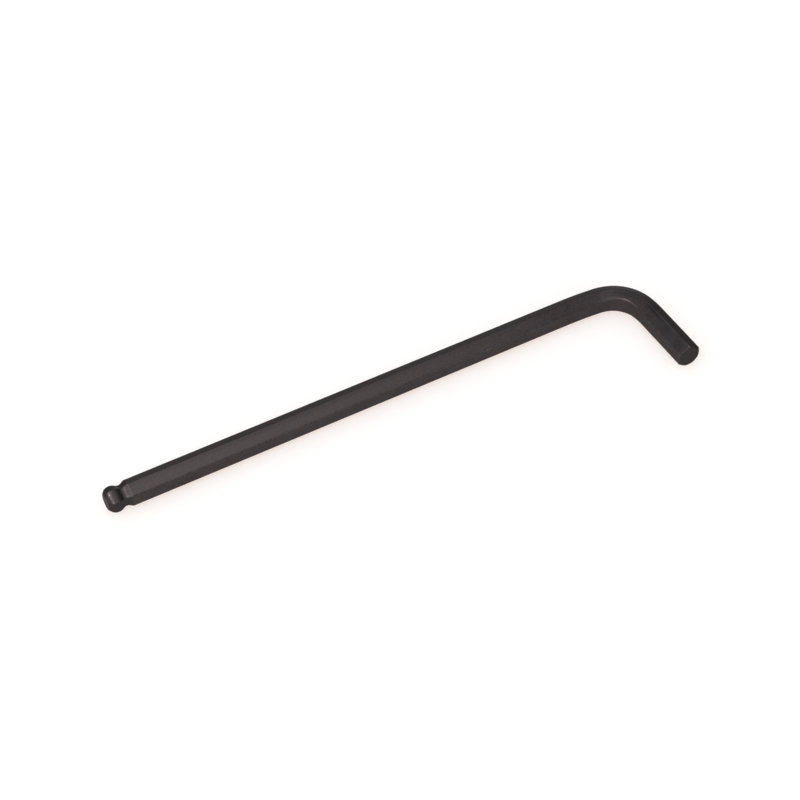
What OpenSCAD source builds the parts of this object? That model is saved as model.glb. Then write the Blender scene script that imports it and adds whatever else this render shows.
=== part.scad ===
// Hex key with a ball end: one length of six-sided steel bar, bent once, with a chamfered
// short end and a ball ground on the long end. All sizes are in millimetres.
// It lies as it rests on a table: edges up and down, flats on the inside and outside of the bend.

/* [Bar] */
// Width across the flats, which is the size of socket that the key turns
across_flats = 8; // [7.6:0.1:10]
// Radius of the bar's six long edges
edge_r = 0.5; // [0.2:0.05:0.9]

/* [Arms] */
// Long arm, from the outer flat of the short arm to the front of the ball
long_reach = 205; // [90:0.5:260]
// Short arm, from the outer flat of the long arm to its end face
short_reach = 43.5; // [32:0.5:80]
// Radius of the bend, on the bar's centreline
bend_r = 14.6; // [9:0.1:20]

/* [Ball end] */
// How much narrower the ball is than the bar, across the flats
ball_relief = 0.1; // [0.02:0.01:0.6]
// Width across the flats at the bottom of the neck
neck_flats = 6.35; // [4.6:0.05:6.8]
// Radius of the hollow of the neck
neck_r = 2.2; // [2:0.1:4]
// Slope of the shoulder that leads from the neck out to the bar's flats
shoulder_angle = 26; // [25:1:40]
// From the middle of the ball to its flat front
ball_nose = 2.85; // [2:0.05:3.3]
// Diameter of the round front face
nose_face_d = 5.7; // [3:0.1:6]
// Angle between the axis and the chamfer round the front face
nose_angle = 52; // [30:1:60]

/* [Short end] */
// Diameter of the round end face
end_face_d = 7.3; // [5:0.1:7.8]
// Length of the chamfer round the end face, at the bar's edges
end_chamfer = 0.65; // [0.2:0.05:1.5]

/* [Hidden] */
$fn = 96;

flat_r = across_flats / 2;
// Each edge's rounding meets the flats at a slight angle, so its centre lies a hair further out
// than that of a tangent one
edge_meeting = 8;
edge_centre_r = (flat_r - edge_r * cos(edge_meeting)) / cos(30);
// Half the width across the rounded edges, and a radius that is clear of the whole bar
edge_reach = edge_centre_r + edge_r;
clear_r = across_flats;
// Stock beyond each end, which is turned off
stock = 1;

// The arms' axes cross at the origin of the plan, with the long arm along +X and the short arm
// along +Y
long_tip = long_reach - flat_r;
short_tip = short_reach - flat_r;

// The neck's hollow has its axis outside the bar. It cuts a hair into the ball and past the
// shoulder's slope, so that the surfaces cross cleanly
hollow_bite = 0.01;
ball_r = flat_r - ball_relief / 2;
ball_x = long_tip - ball_nose;
hollow_y = neck_flats / 2 + neck_r;
hollow_x = ball_x - sqrt(pow(ball_r + neck_r - hollow_bite, 2) - pow(hollow_y, 2));
// Where the shoulder's slope comes out to the bar's flats
shoulder_r = neck_r - hollow_bite;
shoulder_rise = flat_r - hollow_y + shoulder_r * cos(shoulder_angle);
shoulder_x = hollow_x - shoulder_r * sin(shoulder_angle) - shoulder_rise / tan(shoulder_angle);

// The bar's section: flats on the left and right, edges at the top and bottom
module bar_section() {
    difference() {
        rotate(30) circle(flat_r / cos(30), $fn = 6);
        for (k = [0:5]) rotate(30 + 60 * k) edge_waste();
    }
}

// What rounding takes off one edge, which points along +X here
module edge_waste() {
    translate([edge_centre_r, 0]) difference() {
        translate([edge_r * cos(30), -edge_r]) square([2 * edge_r, 2 * edge_r]);
        rotate(180) circle(edge_r);
    }
}

// The bar as it leaves the bender: both arms with their stock, and the bend between them
module bent_bar() {
    translate([long_tip + stock, 0, 0]) rotate([90, 0, -90])
        linear_extrude(long_tip + stock - bend_r) bar_section();
    translate([bend_r, bend_r, 0]) rotate(180)
        rotate_extrude(angle = 90) translate([bend_r, 0]) bar_section();
    translate([0, bend_r, 0]) rotate([-90, 0, 0])
        linear_extrude(short_tip + stock - bend_r) bar_section();
}

// What is ground and turned off the long arm to leave the ball and its neck
module ball_waste() {
    waste_x = shoulder_x - stock;
    difference() {
        translate([waste_x, -clear_r, -clear_r])
            cube([long_tip + 2 * stock - waste_x, 2 * clear_r, 2 * clear_r]);
        intersection() {
            ground_pair(0);
            ground_pair(60);
            ground_pair(120);
            translate([long_tip, 0, 0]) rotate([0, 90, 0])
                turned_end(nose_face_d / 2, tan(nose_angle));
        }
    }
}

// The space between the two surfaces ground on one pair of flats, turned to that pair
module ground_pair(angle) {
    rotate([angle, 0, 0])
        linear_extrude(4 * clear_r, center = true) ground_profile();
}

// Side view of what stays between a pair of flats: the untouched bar, the shoulder, the web
// under the neck's hollow, and the ball
module ground_profile() {
    web_y = hollow_y * ball_r / (ball_r + neck_r);
    difference() {
        union() {
            translate([hollow_x - 2 * clear_r, -clear_r]) square([2 * clear_r, 2 * clear_r]);
            translate([hollow_x, -web_y]) square([ball_x - hollow_x, 2 * web_y]);
            translate([ball_x, 0]) circle(ball_r);
        }
        for (side = [-1, 1]) translate([hollow_x, side * hollow_y]) {
            circle(neck_r);
            rotate(-side * shoulder_angle) shoulder_cut(side);
        }
    }
}

// What is ground off one side behind the hollow, seen along its slope from the hollow's middle
module shoulder_cut(side) {
    translate([-2 * clear_r, side > 0 ? -shoulder_r : shoulder_r - neck_r])
        square([2 * clear_r, neck_r]);
}

// What is turned off the short arm to leave its chamfered round face
module short_end_waste() {
    end_face_r = end_face_d / 2;
    translate([0, short_tip, 0]) rotate([-90, 0, 0]) difference() {
        translate([0, 0, -end_chamfer - stock])
            cylinder(h = end_chamfer + 3 * stock, r = clear_r);
        turned_end(end_face_r, (edge_reach - end_face_r) / end_chamfer);
    }
}

// What turning leaves of a bar whose end is at the origin and which comes along +Z: a round
// face, and a cone that widens by the slope for each millimetre back from it
module turned_end(face_r, slope) {
    cone_length = (clear_r - face_r) / slope;
    rotate_extrude() polygon([
        [0, 0],
        [face_r, 0],
        [clear_r, -cone_length],
        [2 * clear_r, -cone_length],
        [2 * clear_r, -cone_length - 2 * clear_r],
        [0, -cone_length - 2 * clear_r]
    ]);
}

// The whole key, with the middle of its outline over the origin and its lowest edges on the table
module hex_key() {
    color("dimgray")
        translate([flat_r - long_reach / 2, flat_r - short_reach / 2, edge_reach])
            difference() {
                bent_bar();
                ball_waste();
                short_end_waste();
            }
}

hex_key();
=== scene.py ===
"""Looks of a long-arm hex key with a ball end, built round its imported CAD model.

The key is one length of six-sided steel bar, bent once and blackened. Its skin is worked out here
as one closed grid, a six-sided section carried along a bent centreline, and stands for the CAD
solid of the same sizes. Lengths are in metres, in the CAD model's own frame: +X along the long arm
towards the ball, +Y along the short arm and +Z up.
"""

import logging
import math
from dataclasses import dataclass, field
from enum import Enum

import bpy
import numpy as np
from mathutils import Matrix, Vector


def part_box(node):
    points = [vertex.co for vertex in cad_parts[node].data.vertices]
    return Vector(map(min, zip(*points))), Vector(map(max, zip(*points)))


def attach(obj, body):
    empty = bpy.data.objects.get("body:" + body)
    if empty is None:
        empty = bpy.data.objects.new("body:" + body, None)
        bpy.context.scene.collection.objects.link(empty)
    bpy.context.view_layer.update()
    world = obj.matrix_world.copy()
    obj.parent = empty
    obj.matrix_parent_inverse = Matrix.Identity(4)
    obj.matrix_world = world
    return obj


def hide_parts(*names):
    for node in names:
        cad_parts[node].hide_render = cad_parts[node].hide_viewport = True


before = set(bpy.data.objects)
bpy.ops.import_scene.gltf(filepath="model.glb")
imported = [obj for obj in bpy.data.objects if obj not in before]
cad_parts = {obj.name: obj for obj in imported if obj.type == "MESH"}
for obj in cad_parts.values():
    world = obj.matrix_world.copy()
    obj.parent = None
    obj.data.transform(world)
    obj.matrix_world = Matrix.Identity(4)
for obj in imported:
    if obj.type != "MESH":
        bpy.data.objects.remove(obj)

MM = 0.001
KEY_NODE = "hex_key"
KEY_BODY = "root"
UV_NAME = "along_and_around"
CREASE_NAME = "crease"
SIDES = 6
SECTOR = 2 * math.pi / SIDES
HALF_SECTOR = SECTOR / 2

Colour = tuple[float, float, float]
Point = tuple[float, float, float]

log = logging.getLogger("hex_key")


class Finish(Enum):
    """The three ways in which the key's surfaces were worked, in material slot order."""

    DRAWN = 0
    GROUND = 1
    TURNED = 2


def smooth_least(
    radii: list[np.ndarray], sharpness: float | np.ndarray
) -> tuple[np.ndarray, np.ndarray]:
    """Finds the least of several radii, with the creases between them eased.

    The result is the power mean with a large negative power: each radius to the power minus
    sharpness, summed, and the sum to the power minus one over sharpness. Each radius has a weight,
    its share of that sum, and a crease is where no single weight has nearly all of it.

    Args:
        radii: Arrays of one shape, in metres.
        sharpness: The power, as one number or an array. A larger one gives a tighter crease.

    Returns:
        The eased radius, and the crease mask from 0 to 1, both as arrays of that shape.
    """
    stack = np.stack(radii)
    least = stack.min(axis=0)
    shares = (stack / least) ** -sharpness
    total = shares.sum(axis=0)
    weights = shares / total
    crease = np.clip(2 * (1 - (weights**2).sum(axis=0)), 0, 1)
    return least * total ** (-1 / sharpness), crease


def concentrated(low: float, high: float, count: int, pull: float) -> np.ndarray:
    """Spaces values from low to high so that they crowd towards low.

    Value k is low plus the span times sinh(pull times k over count) over sinh(pull).

    Args:
        low: The first value.
        high: The last value.
        count: How many steps there are.
        pull: How strongly the values crowd. A small pull is nearly even.

    Returns:
        count + 1 values, low and high among them.
    """
    steps = np.linspace(0, 1, count + 1)
    return low + (high - low) * np.sinh(pull * steps) / math.sinh(pull)


@dataclass(frozen=True)
class BarSection:
    """The bar's section: flats at the left and right, rounded edges at the top and bottom."""

    across_flats: float = 8.0 * MM
    edge_radius: float = 0.5 * MM
    steps_per_half_side: int = 12
    pull_to_edges: float = 3.4

    @property
    def apothem(self) -> float:
        """Distance from the axis to a flat."""
        return self.across_flats / 2

    def directions(self) -> np.ndarray:
        """Angles round the section, crowded at the edges and wide on the flats.

        Returns:
            Rising angles that cover one turn once, in radians, from the outside of the bend.
        """
        from_edge = concentrated(0, HALF_SECTOR, self.steps_per_half_side, self.pull_to_edges)
        one_edge = np.concatenate([-from_edge[:0:-1], from_edge[:-1]]) + HALF_SECTOR
        turns = np.arange(SIDES)[:, None] * SECTOR
        return (turns + one_edge[None, :]).ravel()

    def from_nearest_edge(self, angle: np.ndarray) -> np.ndarray:
        """Angle between each direction and the nearest of the six edges, from 0 to 30 degrees."""
        return np.abs(np.mod(angle, SECTOR) - HALF_SECTOR)

    def radius(self, angle: np.ndarray) -> np.ndarray:
        """Distance from the axis to the bar's skin.

        On a flat it is the apothem over the cosine of the angle from the flat's middle. On an edge
        it is where the ray meets the rounding's circle, whose centre is on the edge's bisector.

        Args:
            angle: Directions round the section, in radians.

        Returns:
            The radius in each direction, in metres.
        """
        off_edge = self.from_nearest_edge(angle)
        core = self.apothem - self.edge_radius
        centre = core / math.cos(HALF_SECTOR)
        tangent_at = HALF_SECTOR - math.atan(core * math.tan(HALF_SECTOR) / self.apothem)
        on_flat = self.apothem / np.cos(HALF_SECTOR - off_edge)
        under_root = np.maximum(self.edge_radius**2 - (centre * np.sin(off_edge)) ** 2, 0)
        on_edge = centre * np.cos(off_edge) + np.sqrt(under_root)
        return np.where(off_edge < tangent_at, on_edge, on_flat)


@dataclass(frozen=True)
class Arc:
    """One stretch of the bend: the centreline's radius, and the angle through which it turns."""

    radius: float
    degrees: float

    @property
    def angle(self) -> float:
        """The angle in radians."""
        return math.radians(self.degrees)


@dataclass(frozen=True)
class Centreline:
    """The bar's centreline: short arm, four arcs that make a quarter turn, long arm.

    It lies level. Distances run from the short arm's end face to the front of the ball. The bend
    is tightest near the short arm, where the bender's roller pressed, and leads out slowly into
    the long arm.
    """

    crossing: Point
    long_arm: float
    short_arm: float
    arcs: tuple[Arc, ...] = (
        Arc(30.6 * MM, 10.9),
        Arc(12.0 * MM, 55.4),
        Arc(15.6 * MM, 18.5),
        Arc(150.0 * MM, 5.2),
    )
    samples: int = 20001

    @property
    def turns(self) -> np.ndarray:
        """How far the line has turned at the start of the bend and after each arc."""
        return np.cumsum([0.0] + [arc.angle for arc in self.arcs])

    @property
    def reaches(self) -> tuple[float, float]:
        """From where the arms' axes cross to the start of the bend, on each arm.

        Along the short arm it is the sum, over the arcs, of the radius times the rise in the sine
        of the turn. Along the long arm it is the radius times the fall in the cosine.
        """
        turns = self.turns
        radii = np.array([arc.radius for arc in self.arcs])
        on_short = float((radii * np.diff(np.sin(turns))).sum())
        on_long = float((radii * -np.diff(np.cos(turns))).sum())
        return on_short, on_long

    @property
    def knots(self) -> np.ndarray:
        """Distances at which the curvature changes: the ends of the arcs."""
        lengths = [arc.radius * arc.angle for arc in self.arcs]
        return self.short_arm - self.reaches[0] + np.cumsum([0.0] + lengths)

    @property
    def length(self) -> float:
        """The whole length of the centreline."""
        return float(self.knots[-1]) + self.long_arm - self.reaches[1]

    def turned(self, distance: np.ndarray) -> np.ndarray:
        """How far the line has turned at each distance, from 0 to a quarter turn."""
        return np.interp(distance, self.knots, self.turns)

    def places(self, distance: np.ndarray) -> tuple[np.ndarray, np.ndarray]:
        """Places along the line, as the running integral of its heading.

        Args:
            distance: Distances from the short arm's end face.

        Returns:
            The points, and the level unit vectors to the outside of the bend, both as n by 3.
        """
        fine = np.linspace(0, self.length, self.samples)
        middle = (fine[1:] + fine[:-1]) / 2
        heading = self.turned(middle) - math.pi / 2
        step = fine[1] - fine[0]
        start = np.array(self.crossing) + [0, self.short_arm, 0]
        x = start[0] + np.concatenate([[0], np.cumsum(np.cos(heading) * step)])
        y = start[1] + np.concatenate([[0], np.cumsum(np.sin(heading) * step)])
        level = np.full_like(distance, start[2])
        points = np.stack([np.interp(distance, fine, x), np.interp(distance, fine, y), level], 1)
        here = self.turned(distance) - math.pi / 2
        outside = np.stack([np.sin(here), -np.cos(here), np.zeros_like(here)], 1)
        return points, outside


@dataclass(frozen=True)
class RollerPress:
    """What the bender's roller did to the inside of the bend: pressed it in and spread it."""

    middle_turn: float = math.radians(37.6)
    spread_of_turn: float = math.radians(38.2)
    pressed_in: float = 0.144
    spread: float = 0.38
    spread_power: float = 1.5
    fade_rate: float = 4.0

    def amount(self, turned: np.ndarray) -> np.ndarray:
        """How strongly it acts, from 0 to 1: a bell over the turn that fades at its two ends."""
        bell = np.exp(-(((turned - self.middle_turn) / self.spread_of_turn) ** 2))
        return bell * np.clip(self.fade_rate * np.sin(2 * turned), 0, 1)

    def reshape(
        self, outward: np.ndarray, upward: np.ndarray, turned: np.ndarray, apothem: float
    ) -> tuple[np.ndarray, np.ndarray]:
        """Changes the section where the bar is bent.

        On the inner side the distance from the centreline shrinks by a share, and heights grow by
        a share that rises with a power of that distance, so the edge on top stays level.

        Args:
            outward: Each point's distance towards the outside of the bend, rows by columns.
            upward: Each point's height above the centreline, rows by columns.
            turned: How far the line has turned at each row.
            apothem: The bar's distance from its axis to a flat.

        Returns:
            The changed outward and upward distances.
        """
        amount = self.amount(turned)[:, None]
        inner = np.clip(-outward / apothem, 0, 1) ** self.spread_power
        taller = upward * (1 + self.spread * amount * inner)
        nearer = np.where(outward < 0, outward * (1 - self.pressed_in * amount), outward)
        return nearer, taller


@dataclass(frozen=True)
class TurnedTip:
    """The turned end of an arm: a flat round face and a cone that widens behind it.

    Its rings lie on the face at shares of its radius, and then on its eased rim, inside the face's
    radius and behind the face by shares of the easing.
    """

    face_radius: float
    slope: float
    rim_ease: float = 0.05 * MM
    face_shares: tuple[float, ...] = (0.25, 0.5, 0.75, 0.92)
    rim_insets: tuple[float, ...] = (1.6, 0.8, 0.2)
    rim_depths: tuple[float, ...] = (0.0, 0.08, 0.3)

    def radius(self, depth: np.ndarray) -> np.ndarray:
        """The cone's radius: the face's radius plus the slope times the depth behind the face."""
        return self.face_radius + self.slope * depth

    def face_rings(self) -> tuple[np.ndarray, np.ndarray]:
        """Rings that close the tip, from near the axis out to just before the cone.

        Returns:
            The rings' radii, and their depths behind the face, which ease over the rim.
        """
        flat = np.array(self.face_shares) * self.face_radius
        rim = self.face_radius - self.rim_ease * np.array(self.rim_insets)
        rim_depth = self.rim_ease * np.array(self.rim_depths)
        return np.concatenate([flat, rim]), np.concatenate([np.zeros_like(flat), rim_depth])


@dataclass(frozen=True)
class BallEnd:
    """The ball on the long arm: six facets ground to an arc, a hollow neck and a shoulder."""

    ball_radius: float = 3.95 * MM
    ball_depth: float = 2.85 * MM
    neck_apothem: float = 3.175 * MM
    hollow_radius: float = 2.2 * MM
    shoulder_angle: float = math.radians(26)

    @property
    def hollow_offset(self) -> float:
        """From the bar's axis to the centre of the neck's hollow."""
        return self.neck_apothem + self.hollow_radius

    @property
    def hollow_depth(self) -> float:
        """From the front of the ball back to the middle of the neck."""
        centres_apart = self.ball_radius + self.hollow_radius
        return self.ball_depth + math.sqrt(centres_apart**2 - self.hollow_offset**2)

    def apothem(self, depth: np.ndarray) -> np.ndarray:
        """Distance from the axis to each ground facet.

        In front it is a circle about the ball's middle. Behind the point where they touch it is
        a circle about a centre outside the bar, which leaves the neck's hollow, and from where
        that circle has the shoulder's slope it goes on straight.

        Args:
            depth: Distances behind the front of the ball.

        Returns:
            The facets' distance from the axis at each depth, in metres.
        """
        ball_share = self.ball_radius / (self.ball_radius + self.hollow_radius)
        touch = self.ball_depth + (self.hollow_depth - self.ball_depth) * ball_share
        ball = np.sqrt(np.maximum(self.ball_radius**2 - (depth - self.ball_depth) ** 2, 0))
        behind_neck = depth - self.hollow_depth
        dip = np.sqrt(np.maximum(self.hollow_radius**2 - behind_neck**2, 0))
        foot_behind = self.hollow_radius * math.sin(self.shoulder_angle)
        foot = self.hollow_offset - self.hollow_radius * math.cos(self.shoulder_angle)
        shoulder = foot + math.tan(self.shoulder_angle) * (behind_neck - foot_behind)
        behind = np.where(behind_neck < foot_behind, self.hollow_offset - dip, shoulder)
        return np.where(depth < touch, ball, behind)


@dataclass
class HexKey:
    """The whole key as one closed skin, and the finishes that it wears.

    The reaches are how far the tip's and the ball's own rows go from the end faces, and the first
    row lies just behind each face. The field rubbed_edge is the half width, in radians, of the
    band worn along the bar's edges. The last two fields tell how near to a cone the skin counts as
    turned, and how far below the bar's own radius it counts as ground.
    """

    section: BarSection
    line: Centreline
    ball: BallEnd = field(default_factory=BallEnd)
    press: RollerPress = field(default_factory=RollerPress)
    nose: TurnedTip = TurnedTip(face_radius=2.85 * MM, slope=1.28)
    short_tip: TurnedTip = TurnedTip(face_radius=3.64 * MM, slope=1.36)
    crease_sharpness: float = 260.0
    crest_sharpness: float = 300.0
    ridge_sharpness: float = 500.0
    ball_reach: float = 9.5 * MM
    tip_reach: float = 1.3 * MM
    first_row: float = 0.02 * MM
    tip_rows: int = 36
    short_arm_rows: int = 9
    bend_rows: int = 110
    long_arm_rows: int = 64
    ball_rows: int = 124
    rubbed_edge: float = math.radians(2.4)
    turned_within: float = 0.03 * MM
    ground_below: float = 0.04 * MM

    @classmethod
    def from_frame(cls, node: str) -> "HexKey":
        """Takes the arms' reach and place from the CAD solid's box.

        Args:
            node: The CAD node that this piece stands for.

        Returns:
            A key whose outer flats and tips lie on that box.
        """
        low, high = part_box(node)
        section = BarSection()
        crossing = (low.x + section.apothem, low.y + section.apothem, (low.z + high.z) / 2)
        line = Centreline(crossing, high.x - crossing[0], high.y - crossing[1])
        return cls(section, line)

    def stations(self) -> np.ndarray:
        """Distances along the centreline of the grid's rows, close together where it curves."""
        knots, end = self.line.knots, self.line.length
        ball_from = end - self.ball_reach
        tip = np.linspace(self.first_row, self.tip_reach, self.tip_rows)
        short_arm = np.linspace(self.tip_reach, knots[0], self.short_arm_rows)[1:-1]
        bend = np.linspace(knots[0], knots[-1], self.bend_rows)
        long_arm = np.linspace(knots[-1], ball_from, self.long_arm_rows)[1:-1]
        ball = np.linspace(ball_from, end - self.first_row, self.ball_rows)
        return np.concatenate([tip, short_arm, bend, long_arm, ball])

    def radii(self, distance: np.ndarray, angle: np.ndarray) -> tuple[np.ndarray, np.ndarray]:
        """Distance from the centreline to the skin, and where its creases are.

        It is the eased least of the bar's own radius, the ball's facets, each its apothem over the
        cosine of the angle from its middle, and the two turned cones. The ball's own ridges, the
        crest where its shoulder meets the bar, and the other creases are each eased by their own
        sharpness.

        Args:
            distance: Distances along the centreline, one for each row.
            angle: Directions round the section, one for each column.

        Returns:
            Radii and crease masks, both as rows by columns.
        """
        rows, columns = np.meshgrid(distance, angle, indexing="ij")
        depth = self.line.length - rows
        off_edge = self.section.from_nearest_edge(columns)
        apothem = self.ball.apothem(depth)
        near = apothem / np.cos(HALF_SECTOR - off_edge)
        far = apothem / np.cos(HALF_SECTOR + off_edge)
        ground, ridge = smooth_least([near, far], self.ridge_sharpness)
        parts = [
            self.section.radius(columns),
            ground,
            self.nose.radius(depth),
            self.short_tip.radius(rows),
        ]
        on_ball = depth < self.ball_reach
        on_crest = on_ball & (depth > self.ball.hollow_depth)
        sharpness = np.where(on_crest, self.crest_sharpness, self.crease_sharpness)
        least, crease = smooth_least(parts, sharpness)
        edge = np.exp(-((off_edge / self.rubbed_edge) ** 2))
        return least, np.clip(np.maximum(crease, np.where(on_ball, ridge, edge)), 0, 1)

    def skin(self) -> tuple[np.ndarray, np.ndarray, np.ndarray]:
        """The grid of points: the section carried along the line, with a ring stack on each end.

        A point is the centreline's place, plus its radius times the cosine of its direction
        towards the outside of the bend, plus its radius times the sine straight up. The roller's
        press changes both of these where the bar is bent.

        Returns:
            Points as rows by columns by 3, crease masks as rows by columns, and the distance of
            each row along the line.
        """
        distance, angle = self.stations(), self.section.directions()
        radius, crease = self.radii(distance, angle)
        short_r, short_d = self.short_tip.face_rings()
        nose_r, nose_d = self.nose.face_rings()
        ring = np.ones((1, len(angle)))
        radius = np.concatenate([short_r[:, None] * ring, radius, nose_r[::-1, None] * ring])
        rows = np.concatenate([short_d, distance, self.line.length - nose_d[::-1]])
        crease = np.pad(crease, ((len(short_r), len(nose_r)), (0, 0)))
        place, outside = self.line.places(rows)
        outward, upward = self.press.reshape(
            radius * np.cos(angle),
            radius * np.sin(angle),
            self.line.turned(rows),
            self.section.apothem,
        )
        points = place[:, None, :] + outward[:, :, None] * outside[:, None, :]
        points[:, :, 2] += upward
        return points, crease, rows

    def build(self, finishes: dict[Finish, bpy.types.Material]) -> bpy.types.Object:
        """Makes the mesh, with a UV map, a crease attribute and a material for each face.

        Args:
            finishes: The material for each way in which the surface was worked.

        Returns:
            The new object, at the origin.
        """
        points, crease, rows = self.skin()
        n_rows, n_columns = crease.shape
        axis_ends, _ = self.line.places(np.array([0.0, self.line.length]))
        vertices = np.concatenate([points.reshape(-1, 3), axis_ends])
        mesh = bpy.data.meshes.new("key_bar")
        mesh.from_pydata(vertices.tolist(), [], self._faces(n_rows, n_columns))
        self._write_uv(mesh, rows, n_columns)
        self._write_crease(mesh, crease)
        self._write_finishes(mesh, rows, n_columns, finishes)
        mesh.polygons.foreach_set("use_smooth", np.ones(len(mesh.polygons), bool))
        mesh.update()
        piece = bpy.data.objects.new("key_bar", mesh)
        bpy.context.scene.collection.objects.link(piece)
        log.info("key_bar: %d vertices, %d faces", len(mesh.vertices), len(mesh.polygons))
        return piece

    def _faces(self, n_rows: int, n_columns: int) -> list[list[int]]:
        """Lists the faces of the closed grid: four-sided ones, and a fan round each end's pole.

        A grid point's number is its row times the count of columns, plus its column. The two poles
        follow the last grid point, and the last column joins the first.

        Args:
            n_rows: How many rows the grid has.
            n_columns: How many columns the grid has.

        Returns:
            Each face's point numbers, in the turn that faces outwards.
        """
        row, column = np.meshgrid(np.arange(n_rows - 1), np.arange(n_columns), indexing="ij")
        here, beside = row * n_columns, (column + 1) % n_columns
        ahead = here + n_columns
        corners = [here + column, ahead + column, ahead + beside, here + beside]
        quads = np.stack(corners, axis=-1).reshape(-1, 4)
        ring = np.arange(n_columns)
        next_on_ring = np.roll(ring, -1)
        last_ring = (n_rows - 1) * n_columns
        first_pole = np.full(n_columns, n_rows * n_columns)
        short_fan = np.stack([first_pole, ring, next_on_ring], 1)
        ball_fan = np.stack([last_ring + next_on_ring, last_ring + ring, first_pole + 1], 1)
        return quads.tolist() + short_fan.tolist() + ball_fan.tolist()

    def _write_uv(self, mesh: bpy.types.Mesh, rows: np.ndarray, n_columns: int) -> None:
        """Writes a UV map in metres: along the centreline, and round the bar at its flats.

        Args:
            mesh: The key's mesh, whose faces are the quads and then the two fans.
            rows: The distance of each row along the line.
            n_columns: How many columns the grid has.
        """
        loops = np.empty(len(mesh.loops), np.int32)
        mesh.loops.foreach_get("vertex_index", loops)
        angle = self.section.directions()
        along = np.concatenate([np.repeat(rows, n_columns), [0.0, self.line.length]])
        round_bar = np.concatenate([np.tile(angle, len(rows)), [math.pi, math.pi]])
        girth = 2 * SIDES * self.section.apothem * math.tan(HALF_SECTOR)
        share = (round_bar[loops] - angle[0]) / (2 * math.pi)
        uv = np.stack([along[loops], share * girth], 1)
        quads = (len(rows) - 1) * n_columns
        corners = uv[: quads * 4].reshape(-1, 4, 2)
        seam = np.arange(quads) % n_columns == n_columns - 1
        corners[seam, 2:, 1] += girth
        layer = mesh.uv_layers.new(name=UV_NAME)
        layer.data.foreach_set("uv", uv.astype(np.float32).ravel())

    def _write_crease(self, mesh: bpy.types.Mesh, crease: np.ndarray) -> None:
        """Writes the crease mask as a point attribute, 0 at the two poles."""
        values = np.concatenate([crease.ravel(), [0.0, 0.0]])
        attribute = mesh.attributes.new(CREASE_NAME, "FLOAT", "POINT")
        attribute.data.foreach_set("value", values.astype(np.float32))

    def _write_finishes(
        self,
        mesh: bpy.types.Mesh,
        rows: np.ndarray,
        n_columns: int,
        finishes: dict[Finish, bpy.types.Material],
    ) -> None:
        """Gives each face the material of the way in which it was worked.

        A face is turned where the skin there lies on a cone or just inside it, ground where it
        lies below the bar's own radius, and drawn elsewhere.

        Args:
            mesh: The key's mesh.
            rows: The distance of each row along the line.
            n_columns: How many columns the grid has.
            finishes: The material for each finish.
        """
        for finish in Finish:
            mesh.materials.append(finishes[finish])
        middle = (rows[1:] + rows[:-1]) / 2
        angle = self.section.directions()
        half_step = (np.roll(angle, -1) - angle) % (2 * math.pi) / 2
        radius, _ = self.radii(middle, angle + half_step)
        bar = self.section.radius(angle + half_step)[None, :]
        depth = self.line.length - middle
        cone = np.minimum(self.nose.radius(depth), self.short_tip.radius(middle))[:, None]
        below_bar = radius < bar - self.ground_below
        worked = np.where(below_bar, Finish.GROUND.value, Finish.DRAWN.value)
        worked = np.where(radius > cone - self.turned_within, Finish.TURNED.value, worked)
        fans = np.full(2 * n_columns, Finish.TURNED.value)
        slots = np.concatenate([worked.ravel(), fans]).astype(np.int32)
        mesh.polygons.foreach_set("material_index", slots)


class Nodes:
    """A small helper that adds shader nodes to one tree and links them."""

    def __init__(self, tree: bpy.types.NodeTree) -> None:
        """Keeps the tree that nodes are added to."""
        self.tree = tree

    def add(self, kind: str, inputs: dict | None = None, **settings: object) -> bpy.types.Node:
        """Adds a node, sets its properties, and fills or links its inputs.

        Args:
            kind: The node's type name.
            inputs: Input names or numbers, each with a value or with a socket to link.
            **settings: The node's own properties.

        Returns:
            The new node.
        """
        node = self.tree.nodes.new(kind)
        for name, value in settings.items():
            setattr(node, name, value)
        for name, value in (inputs or {}).items():
            if isinstance(value, bpy.types.NodeSocket):
                self.tree.links.new(value, node.inputs[name])
            else:
                node.inputs[name].default_value = value
        return node

    def maths(self, operation: str, first: object, second: object = 0.0) -> bpy.types.NodeSocket:
        """One sum on two numbers or sockets, and its result."""
        node = self.add("ShaderNodeMath", {0: first, 1: second}, operation=operation)
        return node.outputs[0]

    def noise(self, vector: object, scale: object, detail: float = 3.0) -> bpy.types.NodeSocket:
        """The factor of a noise texture over a vector, with its scale as a number or a socket."""
        inputs = {"Vector": vector, "Scale": scale, "Detail": detail}
        return self.add("ShaderNodeTexNoise", inputs).outputs["Fac"]

    def rescaled(
        self, value: object, low: float, high: float, to_low: float, to_high: float
    ) -> bpy.types.NodeSocket:
        """A value carried from one range to another and held inside it."""
        inputs = {"Value": value, "From Min": low, "From Max": high}
        inputs |= {"To Min": to_low, "To Max": to_high}
        return self.add("ShaderNodeMapRange", inputs).outputs["Result"]

    def mixed(self, share: object, first: object, second: object) -> bpy.types.NodeSocket:
        """Mixes two colours, each given as a socket or as red, green and blue.

        Args:
            share: The second colour's share, as a number or a socket.
            first: The colour where the share is 0.
            second: The colour where the share is 1.

        Returns:
            The mixed colour.
        """
        inputs = {0: share}
        for socket, colour in {6: first, 7: second}.items():
            linked = isinstance(colour, bpy.types.NodeSocket)
            inputs[socket] = colour if linked else (*colour, 1.0)
        return self.add("ShaderNodeMix", inputs, data_type="RGBA").outputs[2]


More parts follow.
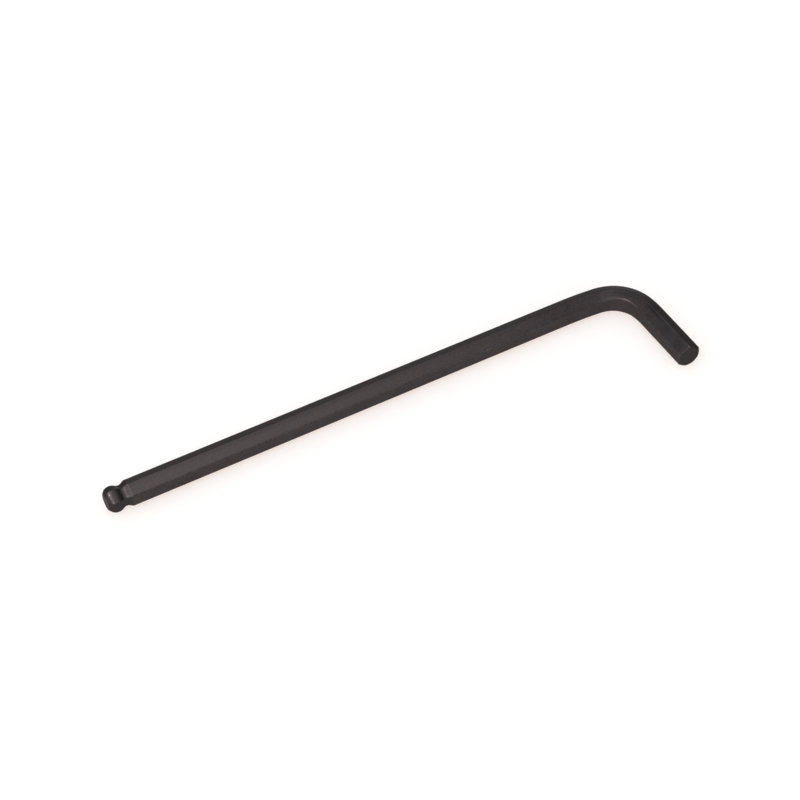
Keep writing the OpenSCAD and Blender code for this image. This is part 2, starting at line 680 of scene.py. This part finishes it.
def new_group(
    name: str, inputs: dict[str, float], outputs: list[str]
) -> tuple[bpy.types.NodeTree, Nodes, bpy.types.NodeOutputs, bpy.types.Node]:
    """Starts a shader node group whose inputs and outputs are numbers.

    Args:
        name: The group's name.
        inputs: Each input's name and its value if nothing is given.
        outputs: The outputs' names.

    Returns:
        The group's tree, a helper on it, its input sockets by name, and its output node.
    """
    tree = bpy.data.node_groups.new(name, "ShaderNodeTree")
    for label, value in inputs.items():
        socket = tree.interface.new_socket(label, in_out="INPUT", socket_type="NodeSocketFloat")
        socket.default_value = value
    for label in outputs:
        tree.interface.new_socket(label, in_out="OUTPUT", socket_type="NodeSocketFloat")
    nodes = Nodes(tree)
    entry = nodes.add("NodeGroupInput")
    return tree, nodes, entry.outputs, nodes.add("NodeGroupOutput")


@dataclass(frozen=True)
class OxideMottle:
    """The uneven black of an oxide bath: cloudy patches, and fine specks within them.

    Scales are noise cells in a metre. Patches and specks take the middle of their noise's range,
    and so does the tint, which is read from another place in the noise.
    """

    patch_scale: float = 260.0
    grain_scale: float = 2000.0
    tint_scale: float = 240.0
    tint_shift: Point = (0.31, 0.17, 0.53)
    tone_range: tuple[float, float] = (0.3, 0.7)
    tint_range: tuple[float, float] = (0.35, 0.65)
    speck_weight: float = 1.7

    def group(self) -> bpy.types.NodeTree:
        """Makes the node group.

        Returns:
            A group whose outputs are a lightness factor, a hue share and a height.
        """
        tree, nodes, given, out = new_group(
            "oxide_mottle",
            {"Patch scale": self.patch_scale, "Grain scale": self.grain_scale, "Depth": 0.2},
            ["Lightness", "Hue", "Grain"],
        )
        place = nodes.add("ShaderNodeTexCoord").outputs["Object"]
        patches = nodes.noise(place, given["Patch scale"], 4.0)
        grain = nodes.noise(place, given["Grain scale"], 2.0)
        shift = {0: place, 1: self.tint_shift}
        moved = nodes.add("ShaderNodeVectorMath", shift, operation="ADD").outputs[0]
        tint = nodes.noise(moved, self.tint_scale, 2.0)
        cloud = nodes.rescaled(patches, *self.tone_range, -0.5, 0.5)
        speck = nodes.rescaled(grain, *self.tone_range, -0.5, 0.5)
        both = nodes.maths("ADD", cloud, nodes.maths("MULTIPLY", speck, self.speck_weight))
        swing = nodes.maths("MULTIPLY", both, given["Depth"])
        tree.links.new(nodes.maths("ADD", 1.0, swing), out.inputs["Lightness"])
        tree.links.new(nodes.rescaled(tint, *self.tint_range, 0, 1), out.inputs["Hue"])
        tree.links.new(grain, out.inputs["Grain"])
        return tree


def working_marks_group() -> bpy.types.NodeTree:
    """Fine lines left by drawing, grinding or turning, on the piece's own UV map.

    Returns:
        A group whose output is a height that changes across the lines.
    """
    sizes = {"Across scale": 3000.0, "Along scale": 40.0}
    tree, nodes, given, out = new_group("working_marks", sizes, ["Height"])
    place = nodes.add("ShaderNodeUVMap", uv_map=UV_NAME).outputs["UV"]
    split = nodes.add("ShaderNodeSeparateXYZ", {0: place}).outputs
    along = nodes.maths("MULTIPLY", split["X"], given["Along scale"])
    across = nodes.maths("MULTIPLY", split["Y"], given["Across scale"])
    joined = nodes.add("ShaderNodeCombineXYZ", {"X": along, "Y": across}).outputs[0]
    tree.links.new(nodes.noise(joined, 1.0, 3.0), out.inputs["Height"])
    return tree


@dataclass(frozen=True)
class Spot:
    """One spot on the oxide, lighter or darker: some are marks of wear, some painted highlights
    and some painted shade.

    Its middle and its half lengths are in millimetres: along the bar from the short end, and
    round the bar from the outside of the bend. A negative strength darkens.
    """

    along: float
    around: float
    half_length: float
    half_width: float
    strength: float
    lean: float = 0.0


# Where two of the bar's ridges lie, in millimetres round it: the top one, and the one that faces
# the inside of the bend
TOP_RIDGE = 6.93
INNER_RIDGE = 11.55

# The spots on the key, from the bend and the arms to the short end and then the ball: marks of
# wear such as a scratch, painted highlights on the bend's inner ridge and on the ball's shoulder,
# and painted shade on the upper faces near the bend
WEAR_AND_PAINTED_LIGHT_SPOTS = (
    # painted highlight along the bend's inner ridge
    Spot(32.3, INNER_RIDGE, 5.0, 0.17, 0.65),
    # a dark streak on the bend
    Spot(20.5, 7.8, 6.5, 0.45, -0.7),
    # lighter lines along the short arm's ridges
    Spot(15.0, 7.1, 5.5, 0.11, 0.28),
    Spot(12.0, INNER_RIDGE, 13.0, 0.12, 0.2),
    # a scratch on the long arm
    Spot(92.8, 11.75, 1.4, 0.12, 0.5, 0.05),
    # painted shade on the upper faces near the bend, where less light falls
    Spot(52.0, 8.3, 9.0, 0.9, -0.3),
    Spot(54.0, 11.0, 15.0, 5.0, -0.2),
    Spot(41.5, 8.3, 7.5, 2.8, -0.42),
    # a darker band beside the top ridge along the long arm
    Spot(165.0, 7.7, 60.0, 0.8, -0.28),
    # lighter lines along the long arm's top ridge
    Spot(101.0, TOP_RIDGE, 6.0, 0.13, 0.25),
    Spot(150.0, TOP_RIDGE, 30.0, 0.1, 0.1),
    # lighter spots, and a line between them, where the ridges meet the short end's chamfer
    Spot(0.9, 7.15, 0.35, 0.3, 0.55),
    Spot(0.9, 11.7, 0.35, 0.3, 0.42),
    Spot(0.85, 9.4, 0.18, 2.6, 0.24),
    # painted highlight on the ball's shoulder
    Spot(227.3, 11.2, 0.5, 0.35, 0.25),
    Spot(227.5, 8.1, 0.5, 0.5, 0.12),
    # lighter spots in a short line across the ball's facets
    Spot(233.0, 8.1, 0.22, 0.3, 0.9),
    Spot(232.9, 9.3, 0.15, 0.5, 0.3),
    Spot(233.1, 7.4, 0.2, 0.2, 0.5),
)


def mark_spot_group() -> bpy.types.NodeTree:
    """The outline of one mark on the piece's own UV map, soft at its rim.

    With the two distances from the mark's middle as shares of its half lengths, it is e to the
    minus the sum of their squares. The lean slants the mark across the bar.

    Returns:
        A group whose output is the mark's mask.
    """
    sizes = {"Along": 0.0, "Around": 0.0, "Half length": 1.0, "Half width": 1.0, "Lean": 0.0}
    tree, nodes, given, out = new_group("mark_spot", sizes, ["Mask"])
    place = nodes.add("ShaderNodeUVMap", uv_map=UV_NAME).outputs["UV"]
    in_mm = nodes.add("ShaderNodeVectorMath", {0: place, "Scale": 1 / MM}, operation="SCALE")
    split = nodes.add("ShaderNodeSeparateXYZ", {0: in_mm.outputs[0]}).outputs
    ahead = nodes.maths("SUBTRACT", split["X"], given["Along"])
    leaning = nodes.maths("MULTIPLY", ahead, given["Lean"])
    aside = nodes.maths("SUBTRACT", nodes.maths("SUBTRACT", split["Y"], given["Around"]), leaning)
    u = nodes.maths("DIVIDE", ahead, given["Half length"])
    v = nodes.maths("DIVIDE", aside, given["Half width"])
    square = nodes.maths("ADD", nodes.maths("MULTIPLY", u, u), nodes.maths("MULTIPLY", v, v))
    mask = nodes.maths("EXPONENT", nodes.maths("MULTIPLY", square, -1.0))
    tree.links.new(mask, out.inputs["Mask"])
    return tree


@dataclass(frozen=True)
class WearAndPaintedLight:
    """All the spots together, marks of wear with painted highlights and painted shade, broken up
    by a fine noise.
    """

    marks: tuple[Spot, ...] = WEAR_AND_PAINTED_LIGHT_SPOTS
    noise_scale: float = 1400.0
    noise_range: tuple[float, float] = (0.35, 0.65)
    raggedness: float = 0.8

    def group(self) -> bpy.types.NodeTree:
        """Makes the node group, in which the strongest mark at a place counts.

        Returns:
            A group whose outputs are the share made lighter, by wear and painted highlights, and
            the share made darker, by painted shade and dark streaks.
        """
        tree, nodes, given, out = new_group(
            "wear_and_painted_light", {"Raggedness": self.raggedness}, ["Worn and painted highlight", "Painted shade and dark streaks"]
        )
        spot = mark_spot_group()
        place = nodes.add("ShaderNodeTexCoord").outputs["Object"]
        noise = nodes.noise(place, self.noise_scale)
        broken = nodes.rescaled(noise, *self.noise_range, -0.5, 0.5)
        ragged = nodes.maths("ADD", 1.0, nodes.maths("MULTIPLY", broken, given["Raggedness"]))
        totals = {"Worn and painted highlight": 0.0, "Painted shade and dark streaks": 0.0}
        for mark in self.marks:
            sizes = {"Along": mark.along, "Around": mark.around, "Lean": mark.lean}
            sizes |= {"Half length": mark.half_length, "Half width": mark.half_width}
            shape = nodes.add("ShaderNodeGroup", sizes, node_tree=spot)
            share = nodes.maths("MULTIPLY", shape.outputs["Mask"], abs(mark.strength))
            # lighter spots are wear and painted highlights, darker ones painted shade and dark
            # streaks
            side = "Worn and painted highlight" if mark.strength > 0 else "Painted shade and dark streaks"
            totals[side] = nodes.maths("MAXIMUM", totals[side], share)
        for side, total in totals.items():
            tree.links.new(nodes.maths("MULTIPLY", total, ragged), out.inputs[side])
        return tree


@dataclass(frozen=True)
class BlackOxide:
    """Blackened steel: dark, satin and a little uneven, with lighter worn edges, and with the
    painted highlights and painted shade of the spots.
    """

    name: str
    cool: Colour = (0.0565, 0.0485, 0.0495)
    warm: Colour = (0.061, 0.048, 0.0465)
    # the lighter colour of worn edges and spots, and of painted highlights
    rub_and_highlight: Colour = (0.265, 0.2, 0.212)
    # the colour towards which painted shade and dark streaks go
    darkest: Colour = (0.02, 0.018, 0.02)
    rub_share: float = 0.24
    rub_range: tuple[float, float] = (0.25, 0.6)
    metallic: float = 0.9
    roughness: float = 0.38
    edge_tint: float = 0.5
    mottle_depth: float = 0.25
    mark_across: float = 3000.0
    mark_along: float = 40.0
    mark_strength: float = 0.07
    grain_strength: float = 0.1
    bump_distance: float = 0.01 * MM

    def material(
        self,
        mottle: bpy.types.NodeTree,
        marks: bpy.types.NodeTree,
        wear_and_painted_light: bpy.types.NodeTree,
    ) -> bpy.types.Material:
        """Builds the material.

        Args:
            mottle: The group that makes the oxide uneven.
            marks: The group of lines left by the way the surface was worked.
            wear_and_painted_light: The group of spots, marks of wear with painted highlights and
                painted shade.

        Returns:
            The material, with its shader linked.
        """
        material = bpy.data.materials.new(self.name)
        material.use_nodes = True
        tree = material.node_tree
        tree.nodes.clear()
        nodes = Nodes(tree)
        depth = {"Depth": self.mottle_depth}
        patches = nodes.add("ShaderNodeGroup", depth, node_tree=mottle).outputs
        scales = {"Across scale": self.mark_across, "Along scale": self.mark_along}
        lines = nodes.add("ShaderNodeGroup", scales, node_tree=marks).outputs
        wear_and_light_shares = nodes.add("ShaderNodeGroup", node_tree=wear_and_painted_light).outputs
        crease = nodes.add("ShaderNodeAttribute", attribute_name=CREASE_NAME).outputs["Fac"]
        base = nodes.mixed(patches["Hue"], self.cool, self.warm)
        toned = {0: base, "Scale": patches["Lightness"]}
        oxide = nodes.add("ShaderNodeVectorMath", toned, operation="SCALE").outputs[0]
        # painted shade and dark streaks go towards the darkest colour
        dark = nodes.mixed(wear_and_light_shares["Painted shade and dark streaks"], oxide, self.darkest)
        worn = nodes.maths("MULTIPLY", crease, patches["Grain"])
        edges = nodes.rescaled(worn, *self.rub_range, 0, self.rub_share)
        # lighter on worn edges, on worn spots and on painted highlights
        light = nodes.maths("MAXIMUM", edges, wear_and_light_shares["Worn and painted highlight"])
        colour = nodes.mixed(light, dark, self.rub_and_highlight)
        rough = nodes.maths("MULTIPLY", patches["Lightness"], self.roughness)
        fine = {"Height": patches["Grain"], "Strength": self.grain_strength}
        grain = nodes.add("ShaderNodeBump", fine | {"Distance": self.bump_distance})
        line = {"Height": lines["Height"], "Strength": self.mark_strength}
        line |= {"Distance": self.bump_distance, "Normal": grain.outputs[0]}
        bump = nodes.add("ShaderNodeBump", line)
        sockets = {"Base Color": colour, "Roughness": rough, "Normal": bump.outputs[0]}
        sockets |= {"Metallic": self.metallic, "Specular Tint": (*[self.edge_tint] * 3, 1.0)}
        shader = nodes.add("ShaderNodeBsdfPrincipled", sockets)
        nodes.add("ShaderNodeOutputMaterial", {"Surface": shader.outputs[0]})
        return material


def key_finishes() -> dict[Finish, bpy.types.Material]:
    """The materials of the key's drawn, ground and turned surfaces, which share three groups."""
    mottle, marks, wear_and_painted_light = OxideMottle().group(), working_marks_group(), WearAndPaintedLight().group()
    drawn = BlackOxide("oxide_on_drawn_bar")
    ground = BlackOxide(
        "oxide_on_ground_ball",
        cool=(0.042, 0.0375, 0.038),
        warm=(0.045, 0.0365, 0.0355),
        rub_and_highlight=(0.2, 0.175, 0.175),
        roughness=0.4,
        mark_across=250.0,
        mark_along=2600.0,
    )
    turned = BlackOxide(
        "oxide_on_turned_tips",
        cool=(0.047, 0.0405, 0.041),
        warm=(0.047, 0.04, 0.0385),
        roughness=0.44,
        mark_across=120.0,
        mark_along=3000.0,
    )
    styles = {Finish.DRAWN: drawn, Finish.GROUND: ground, Finish.TURNED: turned}
    return {finish: style.material(mottle, marks, wear_and_painted_light) for finish, style in styles.items()}


@dataclass(frozen=True)
class ProductCamera:
    """The camera, which looks down on the key from the side of its short arm's end."""

    from_crossing: Point = (0.3091, 0.3815, 0.4650)
    azimuth: float = 150.4
    elevation: float = 47.25
    lens: float = 84.53
    sensor: float = 36.0
    clip: tuple[float, float] = (0.01, 20.0)

    def build(self, crossing: Point) -> bpy.types.Object:
        """Makes the camera and the scene's own camera of it.

        The azimuth turns from a look along +Y towards a look along -X, and the elevation is the
        camera's angle above the horizon.

        Args:
            crossing: Where the axes of the key's two arms cross.

        Returns:
            The camera object.
        """
        turn, tilt = math.radians(self.azimuth), math.radians(self.elevation)
        level = math.cos(tilt)
        back = Vector((math.sin(turn) * level, -math.cos(turn) * level, math.sin(tilt)))
        data = bpy.data.cameras.new("product_camera")
        data.lens, data.sensor_width = self.lens, self.sensor
        data.clip_start, data.clip_end = self.clip
        camera = bpy.data.objects.new("product_camera", data)
        camera.matrix_world = (-back).to_track_quat("-Z", "Y").to_matrix().to_4x4()
        camera.location = Vector(crossing) + Vector(self.from_crossing)
        bpy.context.scene.collection.objects.link(camera)
        bpy.context.scene.camera = camera
        return camera


@dataclass(frozen=True)
class Softbox:
    """A rectangular area lamp that faces a point on the key.

    Its place is given from where the arms' axes cross, and its brightness as the radiance of its
    face, from which its power follows: pi times the face's area times the radiance.
    """

    name: str
    place: Point
    width: float
    depth: float
    radiance: float
    target: Point
    colour: Colour = (1.0, 1.0, 1.0)

    @property
    def power(self) -> float:
        """The lamp's power in watts."""
        return math.pi * self.width * self.depth * self.radiance

    def build(self, crossing: Point) -> bpy.types.Object:
        """Makes the lamp at its place, facing its target, with its width kept level.

        Args:
            crossing: Where the axes of the key's two arms cross.

        Returns:
            The lamp object.
        """
        data = bpy.data.lights.new(self.name, "AREA")
        data.shape, data.size, data.size_y = "RECTANGLE", self.width, self.depth
        data.energy, data.color = self.power, self.colour
        lamp = bpy.data.objects.new(self.name, data)
        away = Vector(self.place) - Vector(self.target)
        lamp.matrix_world = away.to_track_quat("Z", "Y").to_matrix().to_4x4()
        lamp.location = Vector(crossing) + Vector(self.place)
        bpy.context.scene.collection.objects.link(lamp)
        return lamp


@dataclass(frozen=True)
class Studio:
    """A white floor without an edge in view, a dome of soft light and four softboxes."""

    floor_half: float = 3.0
    floor_level: float = 0.0
    lamps: tuple[Softbox, ...] = (
        Softbox("key_softbox", (1.39, 0.745, 2.01), 0.28, 0.28, 68.0, (0.1, 0.0, 0.0)),
        Softbox("overhead_panel", (0.16, 0.376, 1.0), 1.04, 0.5, 2.0, (0.15, 0.05, 0.0)),
        Softbox("side_panel", (1.1, 0.1, 0.42), 0.7, 0.4, 1.2, (0.2, 0.0, 0.0)),
        Softbox("fill_panel", (-0.25, 1.0, 0.25), 1.2, 0.35, 0.8, (-0.05, 0.0, 0.0)),
    )
    dome_colour: Colour = (0.95, 1.0, 1.07)
    dome_top: float = 0.5
    dome_rim: float = 0.2
    dome_rises_to: float = 0.5
    dome_bright_side: Point = (0.95, -0.2, 0.0)
    dome_slope: float = 0.6
    floor_colour: Colour = (0.40, 0.50, 0.54)
    floor_glow: Colour = (0.68, 0.56, 0.50)
    floor_ior: float = 1.45
    floor_gloss_roughness: float = 0.15
    floor_scatter: float = 25.0 * MM
    scatter_spread: Point = (1.0, 0.8, 0.7)
    glow_rise: float = 0.25
    glow_rises_from: float = 0.1
    glow_rises_to: float = 0.3

    def build(self, crossing: Point) -> None:
        """Makes the floor, the dome and the lamps, and sets the view transform.

        Args:
            crossing: Where the axes of the key's two arms cross.
        """
        self._floor()
        self._dome()
        for lamp in self.lamps:
            lamp.build(crossing)
            log.info("lamp %s: %.2f W", lamp.name, lamp.power)
        bpy.context.scene.view_settings.view_transform = "Standard"

    def _seen(self, nodes: Nodes) -> bpy.types.NodeSocket:
        """A mask of the rays that see the backdrop: the camera's, and mirrored ones."""
        path = nodes.add("ShaderNodeLightPath").outputs
        mirrored = nodes.maths("MAXIMUM", path["Is Glossy Ray"], path["Is Transmission Ray"])
        return nodes.maths("MAXIMUM", path["Is Camera Ray"], mirrored)

    def _floor(self) -> None:
        """Makes the floor, one level square."""
        half, level = self.floor_half, self.floor_level
        corners = [(-half, -half, level), (half, -half, level)]
        corners += [(half, half, level), (-half, half, level)]
        mesh = bpy.data.meshes.new("floor")
        mesh.from_pydata(corners, [], [(0, 1, 2, 3)])
        mesh.materials.append(self._floor_material())
        floor = bpy.data.objects.new("floor", mesh)
        bpy.context.scene.collection.objects.link(floor)

    def _floor_material(self) -> bpy.types.Material:
        """Makes the floor's material, whose own glow lifts it to white in the view and in gloss.

        It is a white plastic sheet that lets light wander a little under its surface. The lamps
        light part of it, so it keeps the key's shadow. The glow rises with the distance from the
        key, where the lamps' light falls off. In the key's own reflections the sheet has its
        polish, which mirrors the dim room where it is seen at a low angle.

        Returns:
            The material, with its shader linked.
        """
        material = bpy.data.materials.new("white_floor")
        material.use_nodes = True
        tree = material.node_tree
        tree.nodes.clear()
        nodes = Nodes(tree)
        scatter = {"Color": (*self.floor_colour, 1.0), "Scale": self.floor_scatter}
        scatter |= {"Radius": self.scatter_spread}
        lit = nodes.add("ShaderNodeSubsurfaceScattering", scatter, falloff="BURLEY")
        place = nodes.add("ShaderNodeTexCoord").outputs["Object"]
        away = nodes.add("ShaderNodeVectorMath", {0: place}, operation="LENGTH")
        reach = (self.glow_rises_from, self.glow_rises_to)
        rise = nodes.rescaled(away.outputs["Value"], *reach, 1.0, 1.0 + self.glow_rise)
        strength = nodes.maths("MULTIPLY", rise, self._seen(nodes))
        shine = {"Color": (*self.floor_glow, 1.0), "Strength": strength}
        glow = nodes.add("ShaderNodeEmission", shine)
        white = nodes.add("ShaderNodeAddShader", {0: lit.outputs[0], 1: glow.outputs[0]})
        polish = nodes.add("ShaderNodeBsdfGlossy", {"Roughness": self.floor_gloss_roughness})
        fresnel = nodes.add("ShaderNodeFresnel", {"IOR": self.floor_ior}).outputs[0]
        in_gloss = nodes.add("ShaderNodeLightPath").outputs["Is Glossy Ray"]
        share = nodes.maths("MULTIPLY", fresnel, in_gloss)
        layers = {0: share, 1: white.outputs[0], 2: polish.outputs[0]}
        sheet = nodes.add("ShaderNodeMixShader", layers)
        nodes.add("ShaderNodeOutputMaterial", {"Surface": sheet.outputs[0]})
        return material

    def _dome(self) -> None:
        """Makes the surrounding light: dim at its rim, and brighter to one side.

        Its strength is a smooth rise with the ray's height, times one plus the slope times the
        ray's share towards the bright side. The camera sees plain white instead.
        """
        world = bpy.data.worlds.new("studio")
        bpy.context.scene.world = world
        world.use_nodes = True
        tree = world.node_tree
        tree.nodes.clear()
        nodes = Nodes(tree)
        ray = nodes.add("ShaderNodeTexCoord").outputs["Generated"]
        parts = nodes.add("ShaderNodeSeparateXYZ", {0: ray}).outputs
        rising = nodes.rescaled(parts["Z"], 0, self.dome_rises_to, self.dome_rim, self.dome_top)
        rising.node.interpolation_type = "SMOOTHSTEP"
        pair = {0: ray, 1: self.dome_bright_side}
        towards = nodes.add("ShaderNodeVectorMath", pair, operation="DOT_PRODUCT").outputs["Value"]
        side = nodes.rescaled(towards, -1, 1, 1 - self.dome_slope, 1 + self.dome_slope)
        strength = nodes.maths("MULTIPLY", rising, side)
        glow = {"Color": (*self.dome_colour, 1.0), "Strength": strength}
        soft = nodes.add("ShaderNodeBackground", glow)
        plain = {"Color": (1.0, 1.0, 1.0, 1.0), "Strength": 1.0}
        white = nodes.add("ShaderNodeBackground", plain)
        camera = nodes.add("ShaderNodeLightPath").outputs["Is Camera Ray"]
        choice = {0: camera, 1: soft.outputs[0], 2: white.outputs[0]}
        mix = nodes.add("ShaderNodeMixShader", choice)
        nodes.add("ShaderNodeOutputWorld", {"Surface": mix.outputs[0]})


def main() -> None:
    """Builds the camera, the studio and the key, and reports each piece."""
    logging.basicConfig(level=logging.INFO, format="%(name)s: %(message)s")
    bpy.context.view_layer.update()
    key = HexKey.from_frame(KEY_NODE)
    ProductCamera().build(key.line.crossing)
    Studio().build(key.line.crossing)
    piece = key.build(key_finishes())
    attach(piece, KEY_BODY)
    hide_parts(KEY_NODE)
    log.info("centreline %.1f mm long", key.line.length / MM)


if __name__ == "__main__":
    main()
